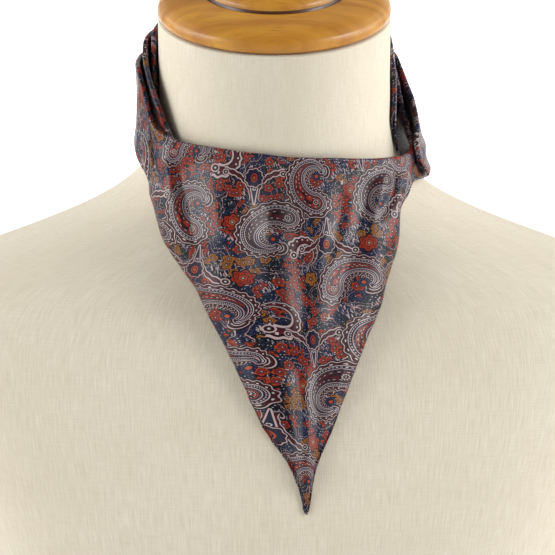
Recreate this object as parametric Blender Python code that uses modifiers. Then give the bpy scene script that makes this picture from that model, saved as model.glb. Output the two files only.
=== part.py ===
"""A pleated silk cravat, tied and worn on a linen dress form with a turned wooden neck cap."""
import math

import bpy
from mathutils import Vector

MM = 0.001

# The dress form, in mm. Each row is one horizontal slice of the body.
# height, half width, front depth, back depth, squareness
FORM_SLICES = (
    (0, 152, 105, 95, 2.30),
    (45, 146, 98, 84, 2.30),
    (100, 150, 104, 88, 2.30),
    (150, 161, 114, 98, 2.35),
    (200, 174, 121, 106, 2.40),
    (240, 186, 120, 111, 2.40),
    (270, 197, 113, 112, 2.35),
    (300, 208, 100, 110, 2.30),
    (325, 213, 86, 105, 2.25),
    (342, 209, 74, 99, 2.20),
    (352, 199, 66, 94, 2.20),
    (362, 179, 60.5, 90, 2.15),
    (372, 152, 56, 86, 2.10),
    (382, 126, 54, 81, 2.10),
    (392, 104, 54.5, 76, 2.05),
    (402, 87, 57, 72, 2.00),
    (412, 75, 60, 69, 2.00),
    (422, 68, 62.5, 67, 2.00),
    (432, 64.5, 65.5, 65, 2.00),
    (450, 62.5, 70, 60.5, 2.00),
    (475, 62, 76, 54.5, 2.00),
    (500, 62, 82, 48.5, 2.00),
    (520, 62, 87, 43.5, 2.00),
)
FORM_SIDES = 60
FORM_ROW_STEP = 14.5
FORM_FINE_STEP = 7.0
FORM_FINE_FROM = 342.0
NECK_TOP = 499.5
NECK_LEAN = math.radians(14)
CAP_SEAT = 1.4
LEAN_FROM = 436.0
LONG_AXIS_SHIFT = 4.4

# The neck cap, in mm: radius and height of each step of the turned profile.
CAP_PROFILE = (
    (0, -1.0),
    (60, -1.0),
    (62, 0.5),
    (62.3, 3.0),
    (61.5, 6.0),
    (58, 9.0),
    (52, 11.0),
    (44, 12.5),
    (39, 13.2),
    (38.3, 12.0),
    (37.6, 12.0),
    (37, 13.5),
    (36.5, 16.0),
    (33, 19.5),
    (24, 22.5),
    (12, 24.0),
    (0, 24.5),
)
CAP_SIDES = 48

# The cloth, in mm.
CLOTH_WALL = 1.0
SEAM_GAP = 0.3
SEAT = 0.45
FOLD_RADIUS = 0.95

# The neckband's tiers. The turn runs from the front by the viewer's left, the nape and the right.
# turn, top height, band height, clearance at the fold, at the middle, at the sewn edge
BAND_INNER = (
    (78, 457, 26, 3.3, 2.2, 0.95),
    (86, 474, 36, 3.5, 2.4, 0.95),
    (95, 488, 46, 3.6, 2.6, 0.95),
    (110, 493, 49, 3.6, 2.6, 0.95),
    (150, 498, 51, 3.6, 2.6, 0.95),
    (180, 500, 51, 3.6, 2.6, 0.95),
    (210, 498, 51, 3.6, 2.6, 0.95),
    (240, 493, 51, 3.6, 2.6, 0.95),
    (252, 487, 48, 3.6, 2.6, 0.95),
    (265, 468, 34, 3.5, 2.4, 0.95),
    (282, 442, 18, 3.3, 2.2, 0.95),
)
BAND_MIDDLE = (
    (46, 428, 16, 3.2, 2.3, 1.0),
    (50, 434, 20, 4.6, 3.0, 1.3),
    (56, 443, 25, 6.4, 4.0, 2.0),
    (66, 459, 34, 7.9, 4.7, 2.3),
    (82, 475, 42, 8.2, 5.2, 2.3),
    (96, 485, 45, 8.0, 5.5, 2.3),
    (120, 489, 46, 7.4, 5.4, 2.3),
    (180, 492, 46, 7.4, 5.4, 2.3),
    (210, 490, 46, 7.4, 5.4, 2.3),
    (244.6, 483, 46, 7.4, 5.6, 3.8),
)
BAND_OUTER = (
    (115.2, 477, 41, 12.0, 9.6, 3.7),
    (150, 479, 40, 11.6, 9.4, 3.7),
    (180, 480, 41, 11.4, 9.2, 3.7),
    (210, 478, 45, 11.6, 9.6, 3.7),
    (228, 477, 56, 11.2, 9.8, 4.4),
    (245, 474, 58, 11.0, 10.0, 5.4),
    (252, 467, 51, 11.2, 11.0, 6.6),
    (258, 460, 44, 11.8, 12.4, 8.0),
    (270, 449, 33, 13.8, 15.0, 11.0),
    (279, 438, 23, 15.0, 15.4, 13.1),
    (286, 430, 16, 15.1, 15.2, 13.9),
    (291, 421, 8, 15.2, 15.1, 14.6),
)
BAND_STEP = 6.0
BAND_LIP = 7.0

# The front blade. Each row is one fall line of the cloth, from the rim down to its foot.
# angle at the rim, rim height, rim clearance, foot angle, foot height, foot clearance, rim turn-in
BLADE_FALLS = (
    (-115.0, 477, 12.0, -115, 436, 3.7, 7),
    (-100.0, 475, 12.0, -100, 434, 6.6, 7),
    (-90.0, 473, 12.3, -90, 432, 10.0, 7),
    (-80.0, 471, 12.2, -78, 429, 12.0, 7),
    (-70.0, 459, 11.6, -66, 423, 12.6, 8),
    (-60.0, 442.5, 10.8, -54, 413, 12.6, 9),
    (-50.0, 437.5, 8.6, -40.5, 402, 12.6, 10),
    (-40.0, 435, 6.0, -25.7, 385, 12.6, 12),
    (-30.0, 434, 4.6, -16.0, 370.5, 12.4, 14),
    (-20.0, 433, 4.0, -10.0, 358, 11.6, 14),
    (-12.0, 432, 4.0, -6.5, 341, 10.4, 14),
    (-6.0, 431.5, 4.0, -3.8, 323, 8.6, 14),
    (0.0, 430.5, 4.0, -1.1, 297, 6.2, 14),
    (8.0, 429.5, 4.0, 1.9, 270, 3.6, 14),
    (14.5, 429, 4.0, 3.1, 253, 2.9, 14),
    (20.0, 428.5, 4.2, 4.1, 274, 3.8, 14),
    (27.0, 428, 4.6, 6.2, 296, 6.2, 14),
    (34.0, 427, 5.2, 9.5, 328, 9.4, 13),
    (42.0, 426, 6.4, 15.0, 358, 11.6, 12),
    (50.0, 425.3, 8.0, 21.8, 373, 12.0, 10),
    (57.0, 425, 9.4, 34.3, 391, 12.0, 9),
    (64.0, 425, 10.8, 48.0, 404, 12.0, 7),
    (72.0, 426, 11.4, 61.0, 412, 11.4, 4),
    (80.0, 430, 11.0, 74.0, 411, 10.2, 4),
    (87.0, 438, 9.6, 84.0, 410.5, 8.8, 5),
    (95.0, 450, 7.4, 95.0, 411, 6.8, 6),
    (105.0, 464, 7.2, 105.0, 411.5, 5.0, 6),
    (115.0, 476, 7.4, 115.0, 413, 3.4, 6),
)
# Where the blade bridges the throat's hollow: height, clearance of the cloth on the middle line
BLADE_BELLY = (
    (250, 2.9),
    (265, 5.0),
    (280, 7.6),
    (300, 11.0),
    (320, 14.6),
    (340, 18.6),
    (355, 22.0),
    (370, 25.0),
    (385, 24.5),
    (400, 18.5),
    (415, 11.0),
    (430, 4.0),
)
BLADE_SIDE_STEP = 5.0
BLADE_FRONT_STEP = 2.7
BLADE_FRONT = (-46.0, 56.0)
BLADE_ROWS = 16
HEM_RISE = 22.0
HEM_END = 2.0

# Soft folds of the blade: rim angle, foot angle, width, depth (negative is a trough)
BLADE_FOLDS = (
    (-46.0, -30.0, 9.0, 1.2),
    (-30.0, -10.0, 9.0, -1.4),
    (-3.0, 2.0, 9.0, -2.6),
    (12.0, 3.4, 8.0, 1.4),
    (36.0, 12.0, 10.0, -1.5),
    (58.0, 40.0, 9.0, 1.2),
)

# The hidden crossing, in mm.
KNOT_HALF_WIDTH = 31.0
KNOT_TOP = 411.0
KNOT_FOOT = 386.0
# The second end: height, middle line, half width
UNDER_WIDTHS = (
    (306, 13.0, 2.0),
    (314, 13.0, 10.0),
    (326, 12.0, 19.0),
    (340, 10.0, 24.0),
    (370, 5.0, 26.0),
    (395, 1.0, 24.0),
    (409, 0.0, 22.0),
)

MATERIALS = {
    "silk": ((0.075, 0.045, 0.065), 0.42, 0.0),
    "linen": ((0.80, 0.75, 0.64), 0.85, 0.0),
    "cap_wood": ((0.60, 0.30, 0.09), 0.25, 0.0),
}


def smooth_table(rows, column, position):
    """Monotone cubic reading of one column of a table, against its first column."""
    xs = [row[0] for row in rows]
    ys = [row[column] for row in rows]
    last = len(xs) - 1
    position = min(max(position, xs[0]), xs[last])
    slopes = [(ys[i + 1] - ys[i]) / (xs[i + 1] - xs[i]) for i in range(last)]
    tangents = [slopes[0]]
    for i in range(1, last):
        before, after = slopes[i - 1], slopes[i]
        if before * after <= 0:
            tangents.append(0.0)
            continue
        left, right = xs[i] - xs[i - 1], xs[i + 1] - xs[i]
        weight_before, weight_after = 2 * right + left, right + 2 * left
        tangents.append((weight_before + weight_after)
                        / (weight_before / before + weight_after / after))
    tangents.append(slopes[-1])
    cell = 0
    while cell < last - 1 and position > xs[cell + 1]:
        cell += 1
    span = xs[cell + 1] - xs[cell]
    t = (position - xs[cell]) / span
    return ((1 + 2 * t) * (1 - t) ** 2 * ys[cell]
            + t * (1 - t) ** 2 * span * tangents[cell]
            + t * t * (3 - 2 * t) * ys[cell + 1]
            + t * t * (t - 1) * span * tangents[cell + 1])


def slice_at(height, clearance=0.0):
    """Half width, half depth, middle and squareness of the form's slice, grown by a clearance."""
    half_width, front, back, squareness = (
        smooth_table(FORM_SLICES, column, height) for column in (1, 2, 3, 4))
    middle = (back - front) / 2
    half_depth = (back + front) / 2
    return half_width + clearance, half_depth + clearance, middle, squareness


def signed_power(value, exponent):
    """Power of a value's size, with its sign kept."""
    return math.copysign(abs(value) ** exponent, value)


def over_form(angle, height, clearance=0.0):
    """Point on the form's skin moved out by a clearance. Angle 0 is the front, 90 is +X."""
    half_width, half_depth, middle, squareness = slice_at(height, clearance)
    turn = math.radians(angle)
    x = half_width * signed_power(math.sin(turn), 2 / squareness)
    y = middle - half_depth * signed_power(math.cos(turn), 2 / squareness)
    return Vector((x, y + LONG_AXIS_SHIFT, height)) * MM


def angle_at_x(x, height, clearance):
    """Angle on the front half of the slice at which the skin lies at this x."""
    half_width, _, _, squareness = slice_at(height, clearance)
    reach = min(abs(x) / half_width, 1.0)
    return math.degrees(math.asin(reach ** (squareness / 2))) * (1 if x >= 0 else -1)


def x_at_angle(angle, height, clearance):
    """Distance to the side of a point over the form, in mm."""
    return over_form(angle, height, clearance).x / MM


def mesh_object(name, material, vertices, faces):
    """A named mesh in the part's collection, with its material."""
    mesh = bpy.data.meshes.new(name)
    mesh.from_pydata([tuple(v) for v in vertices], [], faces)
    mesh.validate()
    item = bpy.data.objects.new(name, mesh)
    parts.objects.link(item)
    mesh.materials.append(make_material(material))
    return item


def make_material(name):
    """The plain Principled material of this name, made once."""
    material = bpy.data.materials.get(name)
    if material is None:
        colour, roughness, metallic = MATERIALS[name]
        material = bpy.data.materials.new(name)
        material.use_nodes = True
        shader = material.node_tree.nodes["Principled BSDF"]
        shader.inputs["Base Color"].default_value = (*colour, 1.0)
        shader.inputs["Roughness"].default_value = roughness
        shader.inputs["Metallic"].default_value = metallic
    return material


def grid_faces(columns, rows):
    """Quads of a grid whose points run row by row."""
    return [(r * columns + c, r * columns + c + 1, (r + 1) * columns + c + 1, (r + 1) * columns + c)
            for r in range(rows - 1) for c in range(columns - 1)]


def cloth_wall(name, grid):
    """A cloth panel: a grid of middle points, given a wall by Solidify."""
    columns = len(grid[0])
    points = [point for row in grid for point in row]
    panel = mesh_object(name, "silk", points, grid_faces(columns, len(grid)))
    wall = panel.modifiers.new("wall", "SOLIDIFY")
    wall.thickness = CLOTH_WALL * MM
    wall.offset = 0.0
    split = panel.modifiers.new("split", "TRIANGULATE")
    split.quad_method = "SHORTEST_DIAGONAL"
    return panel


def form_heights():
    """Heights of the form's rings: wide steps up to the shoulder, fine ones above it."""
    heights = []
    height = 0.0
    while height < FORM_FINE_FROM:
        heights.append(height)
        height += FORM_ROW_STEP
    while height < NECK_TOP:
        heights.append(height)
        height += FORM_FINE_STEP
    return heights + [NECK_TOP]


def under_cap(angle, height):
    """Height of the leaning ring through this height of the neck's axis, just under the cap."""
    _, _, cap_middle, _ = slice_at(NECK_TOP)
    ring = height
    for _ in range(8):
        ahead = cap_middle + LONG_AXIS_SHIFT - over_form(angle, ring).y / MM
        ring = height - CAP_SEAT - math.tan(NECK_LEAN) * ahead
    return ring


def build_form():
    """The linen body: rings lofted from a flat base to the leaning top of the neck."""
    points = []
    heights = form_heights()
    for height in heights:
        lean = max(0.0, (height - LEAN_FROM) / (NECK_TOP - LEAN_FROM))
        for side in range(FORM_SIDES):
            angle = 360 * side / FORM_SIDES
            leaning = under_cap(angle, height) if lean > 0 else height
            points.append(over_form(angle, height + (leaning - height) * lean))
    faces = []
    for row in range(len(heights) - 1):
        for side in range(FORM_SIDES):
            beside = (side + 1) % FORM_SIDES
            faces.append((row * FORM_SIDES + side, row * FORM_SIDES + beside,
                          (row + 1) * FORM_SIDES + beside, (row + 1) * FORM_SIDES + side))
    faces.append(tuple(reversed(range(FORM_SIDES))))
    faces.append(tuple((len(heights) - 1) * FORM_SIDES + side for side in range(FORM_SIDES)))
    return mesh_object("form_body", "linen", points, faces)


def build_cap():
    """The wooden cap: a turned profile that leans forward with the neck."""
    points = [Vector((radius, 0, height)) * MM for radius, height in CAP_PROFILE]
    cap = mesh_object("form_cap", "cap_wood", points, [])
    cap.data.edges.add(len(points) - 1)
    for index, edge in enumerate(cap.data.edges):
        edge.vertices = (index, index + 1)
    turned = cap.modifiers.new("turned", "SCREW")
    turned.axis = "Z"
    turned.steps = CAP_SIDES
    turned.render_steps = CAP_SIDES
    turned.use_merge_vertices = True
    turned.use_normal_flip = True
    turned.merge_threshold = 0.00005
    _, _, middle, _ = slice_at(NECK_TOP)
    cap.location = Vector((0, middle + LONG_AXIS_SHIFT, NECK_TOP)) * MM
    cap.rotation_euler.x = NECK_LEAN
    return cap


def band_section(top, band_height, at_fold, at_middle, at_edge):
    """Heights and clearances up the outside of a pleat, over its fold and down its lip."""
    foot = top - band_height
    face = [(foot, at_edge)]
    for step in (0.22, 0.5, 0.8):
        bulge = math.sin(math.pi * step)
        straight = at_edge + (at_fold - at_edge) * step
        mid_straight = (at_edge + at_fold) / 2
        face.append((foot + (band_height - FOLD_RADIUS) * step,
                     straight + (at_middle - mid_straight) * bulge))
    face.append((top - FOLD_RADIUS, at_fold))
    face.append((top, at_fold - FOLD_RADIUS))
    face.append((top - FOLD_RADIUS, at_fold - 2 * FOLD_RADIUS))
    lip = min(BAND_LIP, 0.5 * band_height)
    shrink = lip / band_height * max(at_fold - at_middle, 0.0)
    face.append((top - lip, max(SEAT + CLOTH_WALL / 2, at_fold - 2 * FOLD_RADIUS - shrink)))
    return face


def build_band(name, table):
    """One tier of the neckband, swept round the neck from the rows of its table."""
    first, last = table[0][0], table[-1][0]
    count = max(2, round((last - first) / BAND_STEP))
    grid = []
    for step in range(count + 1):
        turn = first + (last - first) * step / count
        values = [smooth_table(table, column, turn) for column in (1, 2, 3, 4, 5)]
        grid.append([over_form(-turn, height, clearance)
                     for height, clearance in band_section(*values)])
    return cloth_wall(name, grid)


def fold_offset(rim_angle, share_down):
    """Depth of the blade's soft folds at one place, by its fall line and its share of the fall."""
    total = 0.0
    for fold_rim, _, width, depth in BLADE_FOLDS:
        total += depth * math.exp(-((rim_angle - fold_rim) / width) ** 2)
    return total * math.sin(math.pi * min(1.0, share_down * 1.12))


def blade_point(rim_angle, share, inside=0.0):
    """Angle, height and clearance on one fall line, at a share of the way from rim to foot."""
    rim_height, rim_gap, foot_angle, foot_height, foot_gap = (
        smooth_table(BLADE_FALLS, column, rim_angle) for column in (1, 2, 3, 4, 5))
    side = min(1.0, max(0.0, (abs(rim_angle) - 50) / 14))
    side = side * side * (3 - 2 * side)
    hang = max(0.0, math.cos(math.radians(min(90.0, abs(rim_angle) * 1.35))))
    height = rim_height + (foot_height - rim_height) * share
    plain = rim_gap + (foot_gap - rim_gap) * share
    belly = max(0.0, smooth_table(BLADE_BELLY, 1, height) - plain)
    gap = plain + belly * hang * math.sin(math.pi * share) ** 0.85
    gap += fold_offset(rim_angle, share)
    angle = rim_angle + (foot_angle - rim_angle) * share
    if side < 1.0:
        rim_x = x_at_angle(rim_angle, rim_height, rim_gap)
        foot_x = x_at_angle(foot_angle, foot_height, foot_gap)
        hung = angle_at_x(rim_x + (foot_x - rim_x) * share, height, gap)
        angle = hung + (angle - hung) * side
    return angle, height, max(SEAT + CLOTH_WALL / 2, gap - inside)


def blade_angles():
    """Rim angles of the blade's fall lines: close together in front, wider on the wings."""
    left, right = BLADE_FRONT
    first, last = BLADE_FALLS[0][0], BLADE_FALLS[-1][0]
    stretches = ((first, left, BLADE_SIDE_STEP), (left, right, BLADE_FRONT_STEP),
                 (right, last, BLADE_SIDE_STEP))
    angles = [first]
    for start, end, step in stretches:
        count = round((end - start) / step)
        angles += [start + (end - start) * (i + 1) / count for i in range(count)]
    return angles


def build_front_blade():
    """The front end: fall lines from the left wing across the throat to the right wing."""
    grid = []
    for rim_angle in blade_angles():
        rim_height, foot_height, turn_in = (
            smooth_table(BLADE_FALLS, column, rim_angle) for column in (1, 4, 6))
        fall = rim_height - foot_height
        fold = FOLD_RADIUS / fall
        wing = min(1.0, max(0.0, (abs(rim_angle) - 65) / 25))
        hem = (HEM_END + min(HEM_RISE, 0.33 * fall) * (1 - wing)) / fall
        places = [(turn_in / fall, 2.4), (fold, 2.0), (0.0, 1.0)]
        places += [(fold + (1 - 2 * fold) * row / BLADE_ROWS, 0.0) for row in range(BLADE_ROWS + 1)]
        places += [(1.0, 1.0), (1 - fold, 2.0), (1 - fold - hem / 2, 2.1), (1 - fold - hem, 2.2)]
        grid.append([over_form(*blade_point(rim_angle, share, radii * FOLD_RADIUS))
                     for share, radii in places])
    return cloth_wall("front_blade", grid)


def build_knot():
    """The plain crossing that holds both ends, hidden under the front blade."""
    grid = []
    for height_step in range(6):
        share = height_step / 5
        height = KNOT_FOOT + (KNOT_TOP - KNOT_FOOT) * share
        clearance = SEAT + CLOTH_WALL * 1.5 + SEAM_GAP + 0.2 + 1.6 * math.sin(math.pi * share)
        row = []
        for column in range(13):
            x = KNOT_HALF_WIDTH * (column / 6 - 1)
            row.append(over_form(angle_at_x(x, height, clearance), height, clearance))
        grid.append(row)
    return cloth_wall("knot", grid)


def build_under_blade():
    """The second end, lying flat on the form's chest behind the front blade."""
    grid = []
    rows = 14
    foot, top = UNDER_WIDTHS[0][0], UNDER_WIDTHS[-1][0]
    for row_step in range(rows + 1):
        height = foot + (top - foot) * row_step / rows
        middle = smooth_table(UNDER_WIDTHS, 1, height)
        half_width = smooth_table(UNDER_WIDTHS, 2, height)
        row = []
        for column in range(9):
            x = middle + half_width * (column / 4 - 1)
            clearance = SEAT + CLOTH_WALL / 2
            row.append(over_form(angle_at_x(x, height, clearance), height, clearance))
        grid.append(row)
    return cloth_wall("under_blade", grid)


for item in list(bpy.data.objects):
    bpy.data.objects.remove(item)
parts = bpy.data.collections.new("silk_cravat")
bpy.context.scene.collection.children.link(parts)

build_form()
build_cap()
build_band("band_inner", BAND_INNER)
build_band("band_middle", BAND_MIDDLE)
build_band("band_outer", BAND_OUTER)
build_under_blade()
build_knot()
build_front_blade()
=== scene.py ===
import math
import bpy
import numpy as np
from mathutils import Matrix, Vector


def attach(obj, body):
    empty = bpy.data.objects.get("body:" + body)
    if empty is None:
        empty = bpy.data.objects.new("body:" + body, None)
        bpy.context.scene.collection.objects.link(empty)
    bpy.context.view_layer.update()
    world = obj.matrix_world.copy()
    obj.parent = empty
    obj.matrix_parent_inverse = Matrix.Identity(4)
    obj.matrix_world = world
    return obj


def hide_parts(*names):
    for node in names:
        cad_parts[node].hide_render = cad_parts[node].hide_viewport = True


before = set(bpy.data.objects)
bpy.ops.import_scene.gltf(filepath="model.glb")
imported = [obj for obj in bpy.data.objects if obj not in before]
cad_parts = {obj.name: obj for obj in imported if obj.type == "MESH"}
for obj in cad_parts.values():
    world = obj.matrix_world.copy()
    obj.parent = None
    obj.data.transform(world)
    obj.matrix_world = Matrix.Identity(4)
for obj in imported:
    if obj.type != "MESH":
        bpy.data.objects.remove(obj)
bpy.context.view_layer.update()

MM = 0.001

# The dress form, as in the part's source, in mm.
# height, half width, front depth, back depth, squareness
FORM_SLICES = (
    (0, 152, 105, 95, 2.30),
    (45, 146, 98, 84, 2.30),
    (100, 150, 104, 88, 2.30),
    (150, 161, 114, 98, 2.35),
    (200, 174, 121, 106, 2.40),
    (240, 186, 120, 111, 2.40),
    (270, 197, 113, 112, 2.35),
    (300, 208, 100, 110, 2.30),
    (325, 213, 86, 105, 2.25),
    (342, 209, 74, 99, 2.20),
    (352, 199, 66, 94, 2.20),
    (362, 179, 60.5, 90, 2.15),
    (372, 152, 56, 86, 2.10),
    (382, 126, 54, 81, 2.10),
    (392, 104, 54.5, 76, 2.05),
    (402, 87, 57, 72, 2.00),
    (412, 75, 60, 69, 2.00),
    (422, 68, 62.5, 67, 2.00),
    (432, 64.5, 65.5, 65, 2.00),
    (450, 62.5, 70, 60.5, 2.00),
    (475, 62, 76, 54.5, 2.00),
    (500, 62, 82, 48.5, 2.00),
    (520, 62, 87, 43.5, 2.00),
)
LONG_AXIS_SHIFT = 4.4
NECK_TOP = 499.5
NECK_LEAN = math.radians(14)
CAP_SEAT = 1.4
LEAN_FROM = 436.0
FORM_SIDES = 168
FORM_RINGS = 190
# The rings crowd towards the neck by this power
RING_CROWDING = 1.25
# Each end closes with smaller rings: first share of the radius at the base and at the top, then the rest
BASE_PULL = 0.985
TOP_PULL = 0.97
INNER_RINGS = (0.6, 0.2, 0.0005)

# The cap's turned profile, in mm: radius, height
CAP_PROFILE = (
    (0, -1.0),
    (60, -1.0),
    (62, 0.5),
    (62.3, 3.0),
    (61.5, 6.0),
    (58, 9.0),
    (52, 11.0),
    (44, 12.5),
    (39, 13.2),
    (38.3, 12.0),
    (37.6, 12.0),
    (37, 13.5),
    (36.5, 16.0),
    (33, 19.5),
    (24, 22.5),
    (12, 24.0),
    (0, 24.5),
)
CAP_SIDES = 144
CAP_CENTRE_RADIUS = 0.02
# The ring of painted shade in the cap's groove: its radius and half width, in mm
GROOVE_SHADE_RADIUS = 38.1
GROOVE_SHADE_REACH = 1.2

# The cloth, as in the part's source, in mm.
CLOTH_WALL = 0.9
SEAT = 0.5
FOLD_RADIUS = 0.95
# turn, top height, band height, clearance at the fold, at the middle, at the sewn edge
BANDS = {
    "band_inner": (
        (78, 457, 26, 3.3, 2.2, 0.95),
        (86, 474, 36, 3.5, 2.4, 0.95),
        (95, 488, 46, 3.6, 2.6, 0.95),
        (110, 493, 49, 3.6, 2.6, 0.95),
        (150, 498, 51, 3.6, 2.6, 0.95),
        (180, 500, 51, 3.6, 2.6, 0.95),
        (210, 498, 51, 3.6, 2.6, 0.95),
        (240, 493, 51, 3.6, 2.6, 0.95),
        (252, 487, 48, 3.6, 2.6, 0.95),
        (265, 468, 34, 3.5, 2.4, 0.95),
        (282, 442, 18, 3.3, 2.2, 0.95),
    ),
    "band_middle": (
        (46, 428, 16, 3.2, 2.3, 1.0),
        (50, 434, 20, 4.6, 3.0, 1.3),
        (56, 443, 25, 6.4, 4.0, 2.0),
        (66, 459, 34, 7.9, 4.7, 2.3),
        (82, 475, 42, 8.2, 5.2, 2.3),
        (96, 485, 45, 8.0, 5.5, 2.3),
        (120, 489, 46, 7.4, 5.4, 2.3),
        (180, 492, 46, 7.4, 5.4, 2.3),
        (210, 490, 46, 7.4, 5.4, 2.3),
        (244.6, 483, 46, 7.4, 5.6, 3.8),
    ),
    "band_outer": (
        (115.2, 477, 41, 12.0, 9.6, 3.7),
        (150, 479, 40, 11.6, 9.4, 3.7),
        (180, 480, 41, 11.4, 9.2, 3.7),
        (210, 478, 45, 11.6, 9.6, 3.7),
        (228, 477, 56, 11.2, 9.8, 4.4),
        (245, 474, 58, 11.0, 10.0, 5.4),
        (252, 467, 51, 11.2, 11.0, 6.6),
        (258, 460, 44, 11.8, 12.4, 8.0),
        (270, 449, 33, 13.8, 15.0, 11.0),
        (279, 438, 23, 15.0, 15.4, 13.1),
        (286, 430, 16, 15.1, 15.2, 13.9),
        (291, 421, 8, 15.2, 15.1, 14.6),
    ),
}
BAND_LIP = 7.0
BAND_COLUMNS = 190
# Rows of the grid up a tier, round its fold and down its lip
BAND_ROWS = 22
BAND_FOLD_ROWS = 9
BAND_LIP_ROWS = 6
# The tiers' creases are laid on a plain strip: the radius that turns are taken at, and the height
TIER_RADIUS = 70.0
TIER_HEIGHT = 40.0

# rim angle, rim height, rim clearance, foot angle, foot height, foot clearance, rim turn-in
BLADE_FALLS = (
    (-115.0, 477, 12.0, -115, 436, 3.7, 7),
    (-100.0, 475, 12.0, -100, 434, 6.6, 7),
    (-90.0, 473, 12.3, -90, 432, 10.0, 7),
    (-80.0, 471, 12.2, -78, 429, 12.0, 7),
    (-70.0, 459, 11.6, -66, 423, 12.6, 8),
    (-60.0, 442.5, 10.8, -54, 413, 12.6, 9),
    (-50.0, 437.5, 8.6, -40.5, 402, 12.6, 10),
    (-40.0, 435, 6.0, -25.7, 385, 12.6, 12),
    (-30.0, 434, 4.6, -16.0, 370.5, 12.4, 14),
    (-20.0, 433, 4.0, -10.0, 358, 11.6, 14),
    (-12.0, 432, 4.0, -6.5, 341, 10.4, 14),
    (-6.0, 431.5, 4.0, -3.8, 323, 8.6, 14),
    (0.0, 430.5, 4.0, -1.1, 297, 6.2, 14),
    (8.0, 429.5, 4.0, 1.9, 270, 3.6, 14),
    (14.5, 429, 4.0, 3.1, 253, 2.9, 14),
    (20.0, 428.5, 4.2, 4.1, 274, 3.8, 14),
    (27.0, 428, 4.6, 6.2, 296, 6.2, 14),
    (34.0, 427, 5.2, 9.5, 328, 9.4, 13),
    (42.0, 426, 6.4, 15.0, 358, 11.6, 12),
    (50.0, 425.3, 8.0, 21.8, 373, 12.0, 10),
    (57.0, 425, 9.4, 34.3, 391, 12.0, 9),
    (64.0, 425, 10.8, 48.0, 404, 12.0, 7),
    (72.0, 426, 11.4, 61.0, 412, 11.4, 4),
    (80.0, 430, 11.0, 74.0, 411, 10.2, 4),
    (87.0, 438, 9.6, 84.0, 410.5, 8.8, 5),
    (95.0, 450, 7.4, 95.0, 411, 6.8, 6),
    (105.0, 464, 7.2, 105.0, 411.5, 5.0, 6),
    (115.0, 476, 7.4, 115.0, 413, 3.4, 6),
)
# Where the blade bridges the throat's hollow: height, clearance of the cloth on the middle line
BLADE_BELLY = (
    (250, 2.9),
    (265, 5.0),
    (280, 7.6),
    (300, 11.0),
    (320, 14.6),
    (340, 18.6),
    (355, 22.0),
    (370, 25.0),
    (385, 24.5),
    (400, 18.5),
    (415, 11.0),
    (430, 4.0),
)
BLADE_COLUMNS = 230
BLADE_ROWS = 150
# Rows of the grid down the turned-in rim, round each fold and up the hem
TURN_IN_ROWS = 5
BLADE_FOLD_ROWS = 7
HEM_ROWS = 6
# The hem: how far it rises, at most which share of the fall, and what is left of it on the wings
HEM_RISE = 22.0
HEM_SHARE = 0.33
HEM_END = 2.0
# Degrees from the middle: where each change starts, and over how many more it is complete
TO_WING = (65, 25)
TO_SIDE = (50, 14)
OFF_FRONT = (54, 16)
# How fast the blade's hang over the throat's hollow fades to the sides, and its fullness
HANG_FADE = 1.35
HANG_FULLNESS = 0.85
# The edges of the V roll under: over how far, and by how much
EDGE_REACH = 17.0
EDGE_DROP = 7.0

# Soft creases of the blade, in mm over the cloth: where each starts and ends, across from the
# middle of the rim and down from the rim, its half width, and its depth (negative is a trough).
BLADE_CREASES = (
    (-2, 8, 5, 96, 9.0, -6.0),
    (26, 2, 20, 104, 14.0, 4.6),
    (-28, 2, -9, 104, 13.0, 4.2),
    (-50, 8, -17, 76, 5.0, -3.4),
    (53, 8, 30, 86, 5.5, -3.4),
    (-66, 6, -34, 42, 5.0, 2.0),
    (67, 4, 40, 48, 4.5, 2.0),
    (-82, 4, -52, 28, 3.6, -1.8),
    (77, 4, 52, 34, 3.4, -1.8),
    (-14, 6, -3, 50, 4.2, 1.2),
    (13, 30, 15, 96, 5.0, 1.0),
    (39, 14, 27, 62, 3.6, -1.6),
    (-37, 18, -14, 60, 3.6, -1.5),
    (3, 96, 11, 150, 4.0, -1.8),
    (14, 96, 16, 170, 6.0, 2.4),
    (-116, 10, -88, 34, 4.2, -1.9),
    (-104, 6, -70, 28, 4.0, 1.5),
    (-96, 26, -66, 44, 3.6, -1.3),
    (100, 8, 88, 30, 4.0, -1.2),
)
# Soft creases of the tiers: turn and share of the height at each end, half width in mm, depth
BAND_CREASES = {
    "band_inner": (
        (92, 0.1, 112, 0.8, 3.0, -0.45),
        (130, 0.2, 152, 0.9, 3.0, 0.5),
        (205, 0.1, 190, 0.9, 3.0, -0.5),
        (238, 0.2, 222, 0.9, 3.5, 0.45),
    ),
    "band_middle": (
        (62, 0.1, 84, 0.8, 3.0, -0.6),
        (100, 0.2, 140, 0.8, 3.5, 0.7),
        (165, 0.1, 186, 0.9, 3.0, -0.7),
        (205, 0.2, 232, 0.8, 3.5, 0.7),
    ),
    "band_outer": (
        (122, 0.15, 148, 0.85, 4.5, -1.6),
        (140, 0.2, 178, 0.6, 5.0, 1.7),
        (158, 0.4, 194, 0.85, 3.4, -1.1),
        (172, 0.5, 206, 0.9, 4.0, -1.3),
        (200, 0.1, 236, 0.6, 5.0, 1.8),
        (216, 0.5, 244, 0.9, 3.4, -1.2),
        (232, 0.3, 262, 0.8, 4.0, -1.5),
        (252, 0.1, 284, 0.6, 4.0, 1.3),
    ),
}

KNOT_HALF_WIDTH = 31.0
KNOT_TOP = 411.0
KNOT_FOOT = 386.0
# The knot lies this far over the second end, and bulges by so much
KNOT_LIFT = 0.5
KNOT_BULGE = 1.6
# The second end: height, middle line, half width
UNDER_WIDTHS = (
    (306, 13.0, 2.0),
    (314, 13.0, 10.0),
    (326, 12.0, 19.0),
    (340, 10.0, 24.0),
    (370, 5.0, 26.0),
    (395, 1.0, 24.0),
    (409, 0.0, 22.0),
)

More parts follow.
